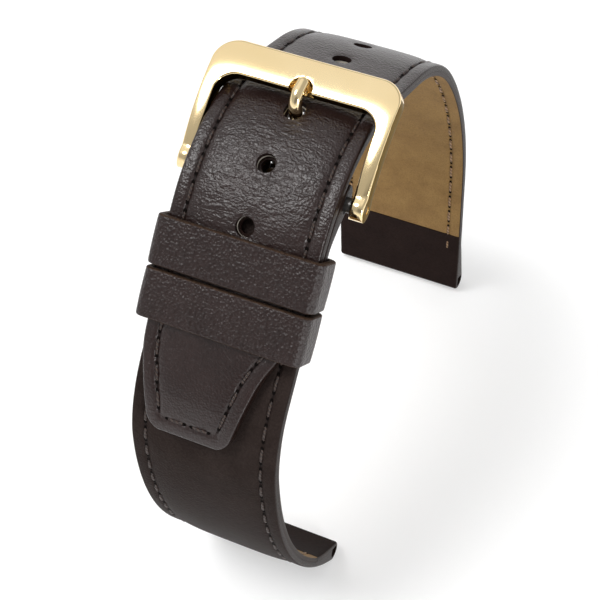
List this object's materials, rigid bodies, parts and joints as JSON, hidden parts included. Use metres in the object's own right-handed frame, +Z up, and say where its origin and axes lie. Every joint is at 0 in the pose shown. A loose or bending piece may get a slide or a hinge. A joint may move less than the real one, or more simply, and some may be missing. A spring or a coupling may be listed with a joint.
{
  "type": "leather watch strap",
  "caption": "Padded dark brown leather watch strap, fastened into a loop, with a polished pale gold buckle, leather loops for the tail and sewn channels for the watch's spring bars.",
  "frame": {"origin": "on the surface that the fastened strap stands on, in the middle of its outer box", "axes": "+X across the strap, +Y away from the buckle side, +Z up"},
  "size_m": [0.0234, 0.0658, 0.0727],
  "materials": {
    "leather": "satin, fine pebbled grain",
    "lining": "matt tan calf lining",
    "padding": "matt pressed felt",
    "thread": "waxed dark thread",
    "lining_thread": "waxed tan thread",
    "gold_metal": "polished pale gold plate",
    "steel": "turned stainless steel"
  },
  "bodies": {
    "strap": {"long_top_leather": "leather", "long_padding": "padding", "long_lining": "lining", "long_thread": "thread", "long_lining_thread": "lining_thread", "short_top_leather": "leather", "short_padding": "padding", "short_lining": "lining", "short_thread": "thread", "short_lining_thread": "lining_thread", "fixed_keeper": "leather", "fixed_keeper_thread": "thread"},
    "free_loop": {"free_keeper": "leather", "free_keeper_thread": "thread"},
    "buckle": {"buckle_frame": "gold_metal", "spring_bar_tube": "steel", "spring_bar_coil": "steel"},
    "tongue": {"buckle_tongue": "gold_metal"},
    "pin_left": {"spring_bar_pin_left": "steel"},
    "pin_right": {"spring_bar_pin_right": "steel"}
  },
  "joints": [
    {"name": "free_loop_slide", "type": "slide", "parent": "strap", "child": "free_loop", "axis": [0, -0.7311, -0.6823], "range_m": [0, 0.0075]},
    {"name": "buckle_tilt", "type": "hinge", "parent": "strap", "child": "buckle", "pos_m": [0, -0.00674, 0.06547], "axis": [1, 0, 0], "range_deg": [0, 3]},
    {"name": "tongue_lift", "type": "hinge", "parent": "buckle", "child": "tongue", "pos_m": [0, -0.00674, 0.06547], "axis": [1, 0, 0], "range_deg": [0, 3]},
    {"name": "pin_left_push", "type": "slide", "parent": "buckle", "child": "pin_left", "axis": [1, 0, 0], "range_m": [0, 0.0016], "stiffness_N_per_m": 20, "deforming": ["spring_bar_coil"]},
    {"name": "pin_right_push", "type": "slide", "parent": "buckle", "child": "pin_right", "axis": [-1, 0, 0], "range_m": [0, 0.0016], "stiffness_N_per_m": 20, "deforming": ["spring_bar_coil"]}
  ]
}
